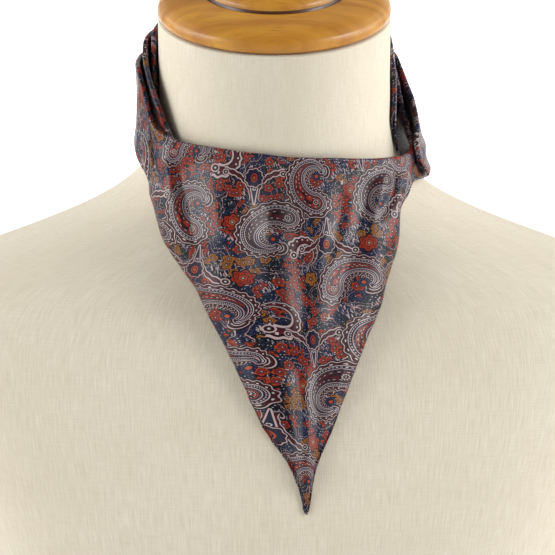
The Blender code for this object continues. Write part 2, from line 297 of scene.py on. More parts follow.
# The camera looks down a little at the throat. The frame is 555 pixels at 1.871 to a mm, so 297 mm.
CAMERA_AIM = (1.7, -35.6, 360.4)
CAMERA_RISE = math.radians(12)
CAMERA_DISTANCE = 1300.0
FRAME_SPAN = 555 / 1.871
SENSOR = 36.0

# Studio light: strength of the pale walls at the sides, behind and in front
WORLD_SIDES = 3.7
WORLD_BACK = 0.15
WORLD_FRONT = 0.13
WORLD_COLOUR = (1.0, 0.985, 0.96, 1.0)
THROAT = (0.0, -0.04, 0.40)
# Lamps: name, place, point that it faces, width in m, watts, spread in degrees, seen in reflections
LAMPS = (
    ("left_box", (-1.7, -0.7, 1.0), THROAT, 0.8, 10, 180, True),
    ("right_box", (1.7, -0.7, 1.1), THROAT, 0.8, 15, 180, True),
    ("floor_wash", (0.0, 2.2, 2.4), (0.0, 2.5, 0.0), 2.4, 70, 110, False),
)
# The stage in m: its half width, its front and back edge, the sweep's radius and the wall's top
STAGE_HALF_WIDTH = 9.0
STAGE_FRONT = -6.0
STAGE_BACK = 2.7
SWEEP_RADIUS = 0.8
WALL_TOP = 1.6

# The silk's print: one repeat across and down, and its slant on the front blade
REPEAT = (60.0, 88.0)
PRINT_SLANT = math.radians(20)
KNOT_SLANT = math.radians(70)
# Waves per mm, in radians, of the twill's ribs and the linen's threads
TWILL_RIBS = 14.0
LINEN_THREADS = 9.0
GRAIN_TURN = (0.0, 0.12, 0.18)


def srgb(red, green, blue):
    """Linear colour from eight-bit display values."""
    def linear(value):
        value /= 255
        return value / 12.92 if value <= 0.04045 else ((value + 0.055) / 1.055) ** 2.4
    return linear(red), linear(green), linear(blue), 1.0


NAVY = srgb(20, 26, 62)
NIGHT = srgb(8, 8, 16)
PLUM = srgb(50, 18, 34)
WINE = srgb(96, 30, 38)
RUST = srgb(178, 58, 34)
CORAL = srgb(206, 88, 48)
OCHRE = srgb(186, 116, 48)
PALE = srgb(226, 200, 202)
CHALK = srgb(230, 224, 222)
STEEL = srgb(76, 90, 128)
TEAL = srgb(26, 46, 62)

# The motifs of one repeat, each laid over the ones before.
# Blooms: centre in mm, turn in degrees, size in mm, petals, fill, core
BLOOMS = (
    ((33, 29), 10, 4.4, 6, RUST, OCHRE),
    ((57, 66), 40, 3.8, 5, OCHRE, WINE),
    ((30, 58), 0, 4.4, 6, RUST, CORAL),
    ((58, 28), 30, 3.8, 6, OCHRE, RUST),
)
# Plumes: centre, turn, size, mirrored
PLUMES = (
    ((34, 82), 20, 7.6, False),
    ((58, 52), 200, 6.6, True),
    ((2, 30), 110, 6.2, False),
)
# Thistles: centre, turn, size, heart
THISTLES = (
    ((47, 10), 165, 8.4, RUST),
    ((12, 50), -20, 8.4, CORAL),
)
# Botehs: centre, turn, size, heart, mirrored
BOTEHS = (
    ((18, 16), 150, 11.8, RUST, False),
    ((46, 42), -35, 11.8, WINE, True),
    ((20, 76), 75, 11.2, RUST, False),
)


# Shapes

def read(table, column, at):
    """Monotone cubic reading of one column of a table, against its first column."""
    xs = np.array([row[0] for row in table], float)
    ys = np.array([row[column] for row in table], float)
    widths = np.diff(xs)
    slopes = np.diff(ys) / widths
    tangents = np.zeros_like(ys)
    tangents[0], tangents[-1] = slopes[0], slopes[-1]
    for i in range(1, len(xs) - 1):
        if slopes[i - 1] * slopes[i] > 0:
            before = 2 * widths[i] + widths[i - 1]
            after = widths[i] + 2 * widths[i - 1]
            tangents[i] = (before + after) / (before / slopes[i - 1] + after / slopes[i])
    at = np.clip(np.asarray(at, float), xs[0], xs[-1])
    cell = np.clip(np.searchsorted(xs, at, side="right") - 1, 0, len(widths) - 1)
    span = widths[cell]
    t = (at - xs[cell]) / span
    return ((1 + 2 * t) * (1 - t) ** 2 * ys[cell] + t * (1 - t) ** 2 * span * tangents[cell]
            + t * t * (3 - 2 * t) * ys[cell + 1] + t * t * (t - 1) * span * tangents[cell + 1])


def signed_power(value, exponent):
    """The power of the size, with the value's own sign."""
    return np.sign(value) * np.abs(value) ** exponent


def slice_at(height, clearance=0.0):
    """Half width, half depth, middle and squareness of the form's slice, grown by a clearance."""
    half_width, front, back, squareness = (read(FORM_SLICES, c, height) for c in (1, 2, 3, 4))
    return half_width + clearance, (back + front) / 2 + clearance, (back - front) / 2, squareness


def over_form(angle, height, clearance=0.0):
    """Points on the form's skin moved out by a clearance, in mm. Angle 0 is the front, 90 is +X."""
    half_width, half_depth, middle, squareness = slice_at(height, clearance)
    turn = np.radians(angle)
    x = half_width * signed_power(np.sin(turn), 2 / squareness)
    y = middle - half_depth * signed_power(np.cos(turn), 2 / squareness) + LONG_AXIS_SHIFT
    return np.stack(np.broadcast_arrays(x, y, np.asarray(height, float)), axis=-1)


def angle_at_x(x, height, clearance):
    """Angle on the front half of the slice at which the skin lies at this x."""
    half_width, _, _, squareness = slice_at(height, clearance)
    reach = np.minimum(np.abs(x) / half_width, 1.0)
    return np.degrees(np.arcsin(reach ** (squareness / 2))) * np.sign(x)


def smooth_step(value):
    """0 below 0, 1 above 1, and an even curve between."""
    value = np.clip(value, 0.0, 1.0)
    return value * value * (3 - 2 * value)


def past(angle, change):
    """How far a change at both sides of the middle has gone, as a share that isn't limited."""
    start, span = change
    return (np.abs(angle) - start) / span


def run_length(points, axis):
    """Distance along a grid's lines, from its first line, in mm."""
    steps = np.linalg.norm(np.diff(points, axis=axis), axis=-1)
    start = np.zeros_like(np.take(steps, [0], axis=axis))
    return np.concatenate([start, np.cumsum(steps, axis=axis)], axis=axis)


def crease_depth(across, down, creases):
    """Sum of soft troughs and ridges, each along a line with fading ends."""
    total = np.zeros(np.broadcast(across, down).shape)
    for x0, y0, x1, y1, half_width, depth in creases:
        length = math.hypot(x1 - x0, y1 - y0)
        ux, uy = (x1 - x0) / length, (y1 - y0) / length
        along = ((across - x0) * ux + (down - y0) * uy) / length
        aside = (across - x0) * -uy + (down - y0) * ux
        wander = 0.16 * half_width * np.sin(along * 7.0 + x0)
        fade = smooth_step(along / 0.3 + 0.15) * smooth_step((1 - along) / 0.4 + 0.15)
        total += depth * fade * np.exp(-((aside - wander) / half_width) ** 2)
    return total


def edge_hold(share, steepness):
    """How far creases may form between two held edges: none at the edges, all of it further in."""
    return np.minimum(np.sin(np.pi * np.clip(share, 0, 1)) * steepness, 1.0)


def grid_piece(name, points, across, down, material, closed=False, wall=0.0):
    """A smooth mesh from a grid of points in mm, with its cloth coordinates as a UV map."""
    rows, columns = points.shape[:2]
    mesh = bpy.data.meshes.new(name)
    wide = columns if closed else columns - 1
    row, column = np.meshgrid(np.arange(rows - 1), np.arange(wide), indexing="ij")
    beside = (column + 1) % columns
    corners = np.stack([row * columns + column, row * columns + beside,
                        (row + 1) * columns + beside, (row + 1) * columns + column], axis=-1)
    faces = corners.reshape(-1, 4)
    mesh.vertices.add(rows * columns)
    mesh.vertices.foreach_set("co", (points.reshape(-1, 3) * MM).ravel())
    mesh.loops.add(faces.size)
    mesh.loops.foreach_set("vertex_index", faces.ravel())
    mesh.polygons.add(len(faces))
    mesh.polygons.foreach_set("loop_start", np.arange(0, faces.size, 4))
    mesh.polygons.foreach_set("loop_total", np.full(len(faces), 4))
    mesh.update()
    mesh.validate()
    lay = mesh.uv_layers.new(name="cloth")
    u, v = np.broadcast_arrays(across, down)
    flat = np.stack([u, v], axis=-1) * MM
    if closed:
        wrap = flat[:, -1:] + (flat[:, -1:] - flat[:, -2:-1])
        flat = np.concatenate([flat, wrap], axis=1)
    corner_uv = np.stack([flat[row, column], flat[row, column + 1],
                          flat[row + 1, column + 1], flat[row + 1, column]], axis=-2)
    lay.data.foreach_set("uv", corner_uv.ravel())
    mesh.polygons.foreach_set("use_smooth", np.ones(len(faces), bool))
    mesh.materials.append(material)
    piece = bpy.data.objects.new(name, mesh)
    bpy.context.scene.collection.objects.link(piece)
    if wall:
        thick = piece.modifiers.new("wall", "SOLIDIFY")
        thick.thickness = wall * MM
        thick.offset = 0.0
    return piece


# Materials

class Term:
    """A value in a shader tree, so that a pattern can be written as sums."""

    def __init__(self, tree, socket):
        self.tree = tree
        self.socket = socket

    def maths(self, operation, *others):
        node = self.tree.nodes.new("ShaderNodeMath")
        node.operation = operation
        for slot, value in enumerate((self, *others)):
            connect(self.tree, node.inputs[slot], value)
        return Term(self.tree, node.outputs[0])

    def __add__(self, other):
        return self.maths("ADD", other)

    def __sub__(self, other):
        return self.maths("SUBTRACT", other)

    def __mul__(self, other):
        return self.maths("MULTIPLY", other)

    def __truediv__(self, other):
        return self.maths("DIVIDE", other)

    def below(self, limit):
        return self.maths("LESS_THAN", limit)

    def above(self, limit):
        return self.maths("GREATER_THAN", limit)

    def near(self, middle, reach):
        return self.maths("COMPARE", middle, reach)

    def cosine(self):
        return self.maths("COSINE")

    def atan2(self, other):
        return self.maths("ARCTAN2", other)

    def power(self, exponent):
        return self.maths("POWER", exponent)

    def floor_at(self, limit):
        return self.maths("MAXIMUM", limit)

    def cap_at(self, limit):
        return self.maths("MINIMUM", limit)

    def apart(self):
        return self.maths("ABSOLUTE")


def connect(tree, socket, value):
    """Links a term to a socket, or sets the socket to a plain value."""
    if isinstance(value, Term):
        tree.links.new(value.socket, socket)
    else:
        socket.default_value = value


def length_of(x, y):
    """Distance from the origin."""
    return (x * x + y * y).maths("SQRT")


def paint(colour, over, mask):
    """The colour with another one laid over it where the mask is 1."""
    tree = mask.tree
    node = tree.nodes.new("ShaderNodeMix")
    node.data_type = "RGBA"
    connect(tree, node.inputs[0], mask)
    connect(tree, node.inputs[6], colour)
    connect(tree, node.inputs[7], over)
    return Term(tree, node.outputs[2])


def layers(colour, level, rows, inside=None):
    """Flat tones laid one over another, each where the level is below its limit."""
    for tone, limit in rows:
        mask = level.below(limit)
        colour = paint(colour, tone, mask if inside is None else mask * inside)
    return colour


def split(tree, vector):
    """The first two parts of a vector."""
    node = tree.nodes.new("ShaderNodeSeparateXYZ")
    tree.links.new(vector, node.inputs[0])
    return Term(tree, node.outputs["X"]), Term(tree, node.outputs["Y"])


def mapped(tree, vector, scale, turn=(0.0, 0.0, 0.0)):
    """A vector scaled and then turned, with the angles in radians."""
    node = tree.nodes.new("ShaderNodeMapping")
    node.inputs["Rotation"].default_value = turn
    node.inputs["Scale"].default_value = scale
    tree.links.new(vector, node.inputs["Vector"])
    return node.outputs["Vector"]


def vector_maths(tree, operation, first, *others):
    """A vector sum of a linked vector with plain ones."""
    node = tree.nodes.new("ShaderNodeVectorMath")
    node.operation = operation
    tree.links.new(first, node.inputs[0])
    for slot, value in enumerate(others):
        node.inputs[slot + 1].default_value = value
    return node.outputs["Vector"]


def around(tree, place, centre, turn, size, mirrored=False):
    """Coordinates of the repeat about a motif's centre, turned and in units of its size."""
    moved = vector_maths(tree, "SUBTRACT", place, (centre[0], centre[1], 0))
    half = (REPEAT[0] / 2, REPEAT[1] / 2, 1)
    wrapped = vector_maths(tree, "WRAP", moved, half, (-half[0], -half[1], -1))
    x, y = split(tree, mapped(tree, wrapped, (1 / size, 1 / size, 1), (0, 0, math.radians(turn))))
    return (x * -1, y) if mirrored else (x, y)


def boteh(tree, colour, place, centre, turn, size, heart, mirrored):
    """A paisley drop whose tail curls round a spot, with beads and a scalloped border."""
    x, y = around(tree, place, centre, turn, size, mirrored)
    radius = length_of(x, y)
    sweep = y.atan2(x)
    share = ((sweep + 1.75) / 3.9).floor_at(0.0).cap_at(1.0)
    across = radius + share * 0.86 - 1.2
    before = (sweep * -1 - 1.75).floor_at(0.0)
    after = (sweep - 2.15).floor_at(0.0)
    thick = (share * -1 + 1).power(1.15) * 0.33 + 0.02
    gap = length_of(across, before * 1.2 + after * 0.34) - thick
    along = share * 4.2 - before.atan2(across) * 0.55
    lobes = (along * 20).cosine()
    scallop = gap + lobes * 0.036
    colour = layers(colour, scallop, ((NIGHT, 0.37), (PALE, 0.318), (PLUM, 0.285)))
    colour = paint(colour, WINE, scallop.near(0.225, 0.014))
    colour = paint(colour, CHALK, length_of(gap - 0.2, lobes.floor_at(-1.0) * 0.06 + 0.06).below(0.024))
    colour = paint(colour, PALE, gap.near(0.12, 0.015))
    colour = paint(colour, NAVY, gap.below(0.1))
    colour = paint(colour, CHALK, gap.near(0.055, 0.016) * (along * 60).cosine().above(0.0))
    colour = layers(colour, gap, ((WINE, 0.012), (PALE, -0.012), (NIGHT, -0.036)))
    colour = paint(colour, STEEL, gap.near(-0.07, 0.014) * (along * 46).cosine().above(0.1))
    colour = layers(colour, gap, ((heart, -0.105), (PLUM, -0.13)))
    colour = paint(colour, heart, gap.below(-0.15) * (along * 9).cosine().above(0.2))
    colour = paint(colour, CHALK, gap.near(-0.165, 0.012) * (along * 27).cosine().above(0.3))
    eye_x, eye_y = x + 0.2, y + 1.15
    eye = length_of(eye_x, eye_y)
    spin = eye_y.atan2(eye_x)
    colour = paint(colour, PLUM, eye.below(0.15))
    colour = paint(colour, CHALK, eye.near(0.105, 0.02) * (spin * 9).cosine().above(-0.35))
    colour = layers(colour, eye, ((heart, 0.055), (CHALK, 0.02)))
    colour = paint(colour, NAVY, radius.below(0.2))
    colour = paint(colour, STEEL, radius.near(0.15, 0.018) * (sweep * 11).cosine().above(0.1))
    return paint(colour, CORAL, radius.below(0.075))


def plume(tree, colour, place, centre, turn, size, mirrored):
    """A tapering plume along an arc, scalloped outside, with a rolled tip."""
    x, y = around(tree, place, centre, turn, size, mirrored)
    radius = length_of(x, y)
    sweep = y.atan2(x)
    taper = (sweep * 0.085 + 0.235).floor_at(0.012)
    edge = (radius - 1.0) / taper
    lobes = (sweep * 15).cosine() * 0.13
    body = edge.apart() + lobes * edge.above(0.0)
    inside = sweep.near(0.1, 2.5)
    colour = layers(colour, body, ((NIGHT, 1.45), (PALE, 1.18), (PLUM, 0.78), (WINE, 0.4)), inside)
    colour = paint(colour, CHALK, edge.near(0.3, 0.2) * inside * (sweep * 15).cosine().below(-0.7))
    tip = length_of(x + 0.8, y - 0.42)
    return layers(colour, tip, ((PALE, 0.3), (PLUM, 0.22), (CHALK, 0.07)))


def thistle(tree, colour, place, centre, turn, size, heart):
    """A scalloped bud between two long leaves with rolled ends."""
    x, y = around(tree, place, centre, turn, size)
    side = x.apart()
    leaf_x, leaf_y = side - 1.75, y + 1.0
    radius = length_of(leaf_x, leaf_y)
    sweep = leaf_y.atan2(leaf_x * -1)
    inside = sweep.near(0.72, 0.86)
    edge = (radius - 1.6) / (sweep * 0.075 + 0.075).floor_at(0.02)
    body = edge.apart() + (sweep * 23).cosine() * 0.17
    colour = layers(colour, body, ((NIGHT, 1.5), (PALE, 1.2), (PLUM, 0.74), (WINE, 0.3)), inside)
    roll = length_of(side - 1.66, y - 0.5)
    colour = layers(colour, roll, ((PALE, 0.2), (PLUM, 0.145), (CHALK, 0.05)))
    stem = side - ((y + 1.5) * 0.16).floor_at(0.0).cap_at(0.24)
    on_stem = y.near(-0.66, 0.84)
    colour = layers(colour, stem, ((PALE, 0.05), (NAVY, -0.005)), on_stem)
    colour = paint(colour, CHALK, length_of(side, y + 0.5).near(0.07, 0.022))
    bud_y = y - 0.2
    spin = bud_y.atan2(x)
    level = length_of(x, bud_y * 0.88) + (spin * 9).cosine() * 0.035
    colour = layers(colour, level, ((NIGHT, 0.58), (PALE, 0.53), (PLUM, 0.485), (NAVY, 0.41)))
    seed = length_of(x * 1.5, bud_y)
    return layers(colour, seed, ((heart, 0.28), (PLUM, 0.2), (heart, 0.125), (OCHRE, 0.05)))


def bloom(tree, colour, place, centre, turn, size, petals, fill, core):
    """An open flower with lobed petals."""
    x, y = around(tree, place, centre, turn, size)
    sweep = y.atan2(x)
    lobes = (sweep * petals).cosine()
    level = length_of(x, y) / (lobes * 0.13 + 0.84)
    colour = layers(colour, level, ((NIGHT, 1.2), (fill, 1.0)))
    colour = paint(colour, PLUM, level.near(0.74, 0.05) * lobes.above(-0.4))
    colour = paint(colour, PLUM, level.near(0.48, 0.05))
    return layers(colour, level, ((core, 0.36), (NAVY, 0.22), (CHALK, 0.1)))


def voronoi(tree, vector, scale):
    """Loose cells, for dots and small flowers."""
    node = tree.nodes.new("ShaderNodeTexVoronoi")
    node.voronoi_dimensions = "2D"
    node.inputs["Scale"].default_value = scale
    tree.links.new(vector, node.inputs["Vector"])
    return node


def noise(tree, vector, scale, detail=2.0, roughness=0.5):
    """Soft random patches as a value from 0 to 1."""
    node = tree.nodes.new("ShaderNodeTexNoise")
    node.noise_dimensions = "2D"
    node.inputs["Scale"].default_value = scale
    node.inputs["Detail"].default_value = detail
    node.inputs["Roughness"].default_value = roughness
    tree.links.new(vector, node.inputs["Vector"])
    return Term(tree, node.outputs["Fac"])


def stipple(colour, dots, cells):
    """Fine dots woven over the navy ground, denser in some places."""
    colour = paint(colour, STEEL, dots.below(0.24))
    return paint(colour, CHALK, dots.below(0.19) * cells[0].above(0.66))


def brushed_leaves(tree, colour, place):
    """Small pale brushed patches on the ground."""
    streaks = mapped(tree, place, (1.0, 0.28, 1.0), (0.0, 0.0, 0.9))
    fine = noise(tree, streaks, 1.7, 2.0)
    patch = noise(tree, place, 0.085, 0.0)
    return paint(colour, PALE, fine.above(0.58) * patch.above(0.66))


def vines(tree, colour, place):
    """Thin winding lines that fill the ground between the motifs."""
    drift = noise(tree, place, 0.08, 1.5)
    colour = paint(colour, WINE, drift.near(0.5, 0.012))
    colour = paint(colour, PALE, drift.near(0.503, 0.004))
    colour = paint(colour, PLUM, drift.near(0.41, 0.013))
    return paint(colour, PALE, drift.near(0.413, 0.004))


def small_flowers(tree, colour, place):
    """Loose clusters of little lobed flowers between the large motifs."""
    cells = voronoi(tree, place, 0.225)
    cells.inputs["Randomness"].default_value = 0.8
    offset = tree.nodes.new("ShaderNodeVectorMath")
    offset.operation = "SUBTRACT"
    tree.links.new(place, offset.inputs[0])
    tree.links.new(cells.outputs["Position"], offset.inputs[1])
    x, y = split(tree, offset.outputs["Vector"])
    pick = split(tree, cells.outputs["Color"])
    sweep = y.atan2(x) + pick[0] * 6
    lobes = (sweep * 5).cosine()
    level = length_of(x, y) / (lobes * 0.3 + 2.1)
    patch = noise(tree, place, 0.05, 1.0)
    red = patch.above(0.5) * pick[1].above(0.22)
    gold = patch.below(0.415) * pick[1].above(0.4)
    any_colour = red + gold
    colour = paint(colour, NIGHT, level.below(1.18) * any_colour)
    colour = paint(colour, RUST, level.below(1.0) * red)
    colour = paint(colour, OCHRE, level.below(0.95) * gold)
    colour = paint(colour, CORAL, level.near(0.8, 0.09) * lobes.above(0.0) * red)
    colour = paint(colour, PLUM, level.near(0.55, 0.07) * any_colour)
    return layers(colour, level, ((NAVY, 0.3), (CHALK, 0.12)), any_colour)


def paisley(tree, place):
    """The whole print: ground, filling, then the large motifs over them."""
    fine = voronoi(tree, place, 0.98)
    dots = Term(tree, fine.outputs["Distance"])
    cells = split(tree, fine.outputs["Color"])
    colour = paint(NAVY, NIGHT, noise(tree, place, 0.06, 1.0).above(0.55))
    colour = stipple(colour, dots, cells)
    colour = brushed_leaves(tree, colour, place)
    colour = vines(tree, colour, place)
    colour = small_flowers(tree, colour, place)
    colour = paint(colour, TEAL, dots.below(0.3) * cells[1].above(0.8))
    for motif, rows in ((bloom, BLOOMS), (plume, PLUMES), (thistle, THISTLES), (boteh, BOTEHS)):
        for row in rows:
            colour = motif(tree, colour, place, *row)
    return colour


def new_material(name):
    """A material with its node tree and its shader."""
    material = bpy.data.materials.new(name)
    material.use_nodes = True
    return material, material.node_tree, material.node_tree.nodes["Principled BSDF"]


def cloth_place(tree):
    """The piece's flat coordinates as a vector, in mm."""
    uv = tree.nodes.new("ShaderNodeUVMap")
    uv.uv_map = "cloth"
    return mapped(tree, uv.outputs["UV"], (1 / MM, 1 / MM, 1 / MM))


def add_bump(tree, shader, height, strength, distance):
    """Fine relief from a pattern of heights; the distance is in metres."""
    bump = tree.nodes.new("ShaderNodeBump")
    bump.inputs["Strength"].default_value = strength
    bump.inputs["Distance"].default_value = distance
    connect(tree, bump.inputs["Height"], height)
    tree.links.new(bump.outputs["Normal"], shader.inputs["Normal"])


def make_silk():
    """Printed silk twill with a soft gloss."""
    material, tree, shader = new_material("silk_paisley")
    place = cloth_place(tree)
    colour = paisley(tree, place)
    x, y = split(tree, place)
    ribs = ((x * 0.9 + y) * TWILL_RIBS).maths("SINE")
    cloudy = noise(tree, place, 0.06, 3.0)
    shade = tree.nodes.new("ShaderNodeHueSaturation")
    connect(tree, shade.inputs["Value"], ribs * 0.02 + cloudy * 0.12 + 0.53)
    connect(tree, shade.inputs["Color"], colour)
    tree.links.new(shade.outputs["Color"], shader.inputs["Base Color"])
    connect(tree, shader.inputs["Roughness"], cloudy * 0.1 + 0.3)
    shader.inputs["Specular IOR Level"].default_value = 0.32
    add_bump(tree, shader, ribs, 0.15, 0.04 * MM)
    return material


def make_linen():
    """Ivory linen: a fine plain weave with uneven threads."""
    material, tree, shader = new_material("linen_weave")
    place = cloth_place(tree)
    x, y = split(tree, place)
    weave = (x * LINEN_THREADS).maths("SINE") * (y * LINEN_THREADS).maths("SINE")
    slubs = noise(tree, mapped(tree, place, (1.0, 0.06, 1.0)), 1.4, 2.0)
    threads = noise(tree, mapped(tree, place, (0.06, 1.0, 1.0)), 1.4, 2.0)
    patches = noise(tree, place, 0.012, 2.0)
    colour = paint(srgb(206, 195, 173), srgb(246, 239, 222), slubs * 0.7 + threads * 0.3)
    colour = paint(colour, srgb(208, 197, 174), (patches - 0.42).floor_at(0.0) * 0.8)
    colour = paint(colour, srgb(196, 186, 164), weave.above(0.25) * 0.16)
    tree.links.new(colour.socket, shader.inputs["Base Color"])
    shader.inputs["Roughness"].default_value = 0.88
    shader.inputs["Specular IOR Level"].default_value = 0.25
    shader.inputs["Sheen Weight"].default_value = 0.12
    shader.inputs["Sheen Roughness"].default_value = 0.5
    add_bump(tree, shader, weave + slubs * 1.2 + threads * 1.2, 0.5, 0.06 * MM)
    return material


def make_cap_wood():
    """Lacquered beech, with long growth bands across the cap and short flecks, and a dark ring of
    painted shade in the groove.
    """
    material, tree, shader = new_material("cap_wood_lacquered")
    where = tree.nodes.new("ShaderNodeTexCoord").outputs["Object"]
    bands = noise(tree, mapped(tree, where, (9.0, 60.0, 60.0), GRAIN_TURN), 1.6, 4.0, 0.6)
    flecks = noise(tree, mapped(tree, where, (120.0, 900.0, 900.0), GRAIN_TURN), 1.0, 1.0)
    dark_bands = (bands * 2.6 - 0.8).floor_at(0.0).cap_at(1.0)
    colour = paint(srgb(206, 148, 54), srgb(174, 112, 34), dark_bands)
    colour = paint(colour, srgb(140, 82, 34), (flecks - 0.6).floor_at(0.0) * 1.6)
    x, y = split(tree, cloth_place(tree))
    # A dark ring painted into the wood's colour as the shade in the groove at the inner disc's foot
    colour = paint(colour, srgb(86, 50, 22), length_of(x, y).near(GROOVE_SHADE_RADIUS, GROOVE_SHADE_REACH))
    tree.links.new(colour.socket, shader.inputs["Base Color"])
    connect(tree, shader.inputs["Roughness"], bands * 0.15 + 0.28)
    shader.inputs["Coat Weight"].default_value = 0.42
    shader.inputs["Specular IOR Level"].default_value = 0.3
    shader.inputs["Coat Roughness"].default_value = 0.22
    add_bump(tree, shader, flecks, 0.15, 0.1 * MM)
    return material


# Pieces

def under_cap(angle, height):
    """Heights of the leaning ring through this height of the neck's axis, just under the cap."""
    cap_middle = slice_at(NECK_TOP)[2] + LONG_AXIS_SHIFT
    ring = np.full_like(angle, height)
    for _ in range(10):
        ahead = cap_middle - over_form(angle, ring)[..., 1]
        ring = height - CAP_SEAT - math.tan(NECK_LEAN) * ahead
    return ring


def build_form(material):
    """The linen body: rings from the flat base to the leaning top of the neck."""
    angles = np.arange(FORM_SIDES) * 360.0 / FORM_SIDES
    spread = np.linspace(0, 1, FORM_RINGS)
    heights = NECK_TOP * (1 - (1 - spread) ** RING_CROWDING)
    rings = []
    for height in heights:
        lean = max(0.0, (height - LEAN_FROM) / (NECK_TOP - LEAN_FROM))
        level = np.full_like(angles, height)
        if lean > 0:
            level = level + (under_cap(angles, height) - level) * lean
        rings.append(over_form(angles, level))
    points = np.array(rings)
    for top, pull in ((False, BASE_PULL), (True, TOP_PULL)):
        ring = points[-1] if top else points[0]
        centre = ring.mean(axis=0)
        rows = [centre + (ring - centre) * share for share in (pull, *INNER_RINGS)]
        points = np.concatenate([points, rows] if top else [rows[::-1], points])
    across = run_length(points[FORM_RINGS // 2][None], 1)
    down = run_length(points[:, :1], 0)
    return grid_piece("form_linen", points, across, down, material, closed=True)


def rounded(profile, share=0.32, steps=4):
    """A profile with each corner eased by a short parabola."""
    path = [profile[0]]
    for before, corner, after in zip(profile, profile[1:], profile[2:]):
        start = [c + (b - c) * share for b, c in zip(before, corner)]
        end = [c + (a - c) * share for a, c in zip(after, corner)]
        for step in range(steps + 1):
            t = step / steps
            path.append(tuple((1 - t) ** 2 * s + 2 * t * (1 - t) * c + t * t * e
                              for s, c, e in zip(start, corner, end)))
    return path + [profile[-1]]


def build_cap(material):
    """The turned cap, leaning forward with the neck."""
    path = np.array(rounded(CAP_PROFILE))
    path[[0, -1], 0] = CAP_CENTRE_RADIUS
    turn = np.arange(CAP_SIDES) * 2 * math.pi / CAP_SIDES
    radius, rise = path[:, :1], path[:, 1:] + 0 * turn
    x, y = radius * np.cos(turn), radius * np.sin(turn)
    lean_sine, lean_cosine = math.sin(NECK_LEAN), math.cos(NECK_LEAN)
    middle = float(slice_at(NECK_TOP)[2]) + LONG_AXIS_SHIFT
    points = np.stack([x, y * lean_cosine - rise * lean_sine + middle,
                       y * lean_sine + rise * lean_cosine + NECK_TOP], axis=-1)
    return grid_piece("cap_wood_turned", points, x, y + 0 * x, material, closed=True)


def slanted(across, down, angle):
    """Cloth coordinates turned to the print's lie on one piece."""
    cosine, sine = math.cos(angle), math.sin(angle)
    return across * cosine - down * sine, across * sine + down * cosine


def build_band(name, material, slant, offset):
    """One pleat of the neckband, with a rolled fold at its top and a lip inside."""
    table = BANDS[name]
    turns = np.linspace(table[0][0], table[-1][0], BAND_COLUMNS)
    top, tall, at_fold, at_middle, at_edge = (read(table, c, turns) for c in (1, 2, 3, 4, 5))
    foot = top - tall
    sections = []
    shares = []
    for share in np.linspace(0, 1, BAND_ROWS):
        gap = at_edge + (at_fold - at_edge) * share
        gap = gap + (at_middle - (at_edge + at_fold) / 2) * math.sin(math.pi * share)
        sections.append((foot + (tall - FOLD_RADIUS) * share, gap))
        shares.append(share)
    for bend in np.linspace(0, 180, BAND_FOLD_ROWS)[1:]:
        swing = math.radians(bend)
        sections.append((top - FOLD_RADIUS + FOLD_RADIUS * math.sin(swing),
                         at_fold - FOLD_RADIUS * (1 - math.cos(swing))))
        shares.append(1.0)
    lip = np.minimum(BAND_LIP, 0.5 * tall)
    shrink = lip / tall * np.maximum(at_fold - at_middle, 0.0)
    for share in np.linspace(0, 1, BAND_LIP_ROWS)[1:]:
        gap = np.maximum(SEAT + CLOTH_WALL / 2, at_fold - 2 * FOLD_RADIUS - shrink * share)
        sections.append((top - FOLD_RADIUS - (lip - FOLD_RADIUS) * share, gap))
        shares.append(1.0)
    heights = np.array([height for height, _ in sections])
    gaps = np.array([gap + 0 * turns for _, gap in sections])
    share_grid = np.array(shares)[:, None]
    across = np.radians(turns) * TIER_RADIUS
    creases = [(math.radians(t0) * TIER_RADIUS, s0 * TIER_HEIGHT,
                math.radians(t1) * TIER_RADIUS, s1 * TIER_HEIGHT, width, depth)
               for t0, s0, t1, s1, width, depth in BAND_CREASES[name]]
    hold = edge_hold(share_grid, 1.6)
    gaps = gaps + crease_depth(across[None], share_grid * TIER_HEIGHT, creases) * hold
    points = over_form(-turns[None], heights, gaps)
    down = run_length(points, 0)
    u, v = slanted(across[None] + 0 * down, -down, slant)
    return grid_piece(name + "_silk", points, u + offset[0], v + offset[1], material,
                      wall=CLOTH_WALL)


def blade_point(rim_angle, share):
    """Angle, height and clearance on the blade's fall lines, at shares from rim to foot."""
    rim_height, rim_gap, foot_angle, foot_height, foot_gap = (
        read(BLADE_FALLS, c, rim_angle) for c in (1, 2, 3, 4, 5))
    side = smooth_step(past(rim_angle, TO_SIDE))
    hang = np.maximum(0.0, np.cos(np.radians(np.minimum(90.0, np.abs(rim_angle) * HANG_FADE))))
    height = rim_height + (foot_height - rim_height) * share
    plain = rim_gap + (foot_gap - rim_gap) * share
    belly = np.maximum(0.0, read(BLADE_BELLY, 1, height) - plain)
    gap = plain + belly * hang * np.clip(np.sin(np.pi * share), 0, 1) ** HANG_FULLNESS
    angle = rim_angle + (foot_angle - rim_angle) * share
    rim_x = over_form(rim_angle, rim_height, rim_gap)[..., 0]
    foot_x = over_form(foot_angle, foot_height, foot_gap)[..., 0]
    return angle, height, gap, rim_x + (foot_x - rim_x) * share, side


